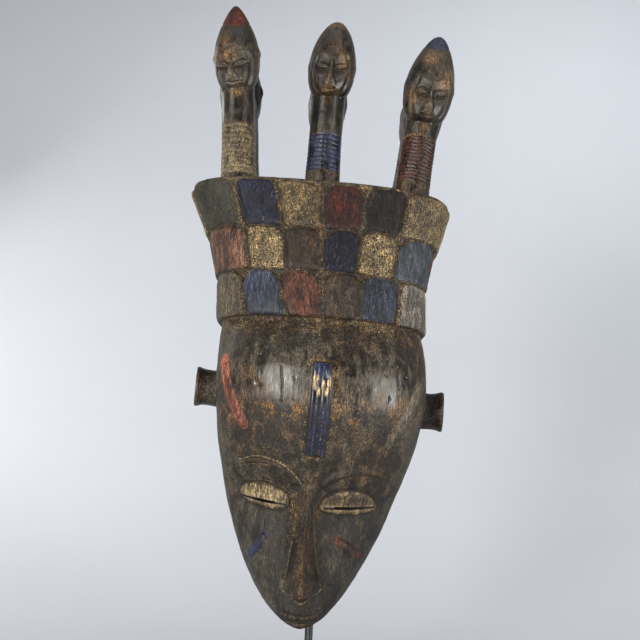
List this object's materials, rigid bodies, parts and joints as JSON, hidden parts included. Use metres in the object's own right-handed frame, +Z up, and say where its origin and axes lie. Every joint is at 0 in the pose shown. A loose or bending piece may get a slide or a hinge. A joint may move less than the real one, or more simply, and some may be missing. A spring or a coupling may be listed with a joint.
{
  "type": "ligbi mask",
  "caption": "Carved wooden face mask with a padded headdress, double-headed crests and peg ears, hollow behind, held upright by a thin rod on a square steel foot.",
  "frame": {"origin": "middle of the foot's underside, on the surface that the stand rests on", "axes": "+Z up along the mask's height, -Y the way the face looks, +X to the right as seen from the front"},
  "size_m": [0.2049, 0.1458, 0.5515],
  "materials": {
    "painted_wood": "old dark carved wood with a worn semi-gloss patina, ochre wear on edges and rubbed blue, red and cream paint",
    "black_steel": "satin black paint"
  },
  "bodies": {
    "root": {"mask": "painted_wood", "stand_rod": "black_steel", "stand_foot": "black_steel"}
  },
  "joints": []
}
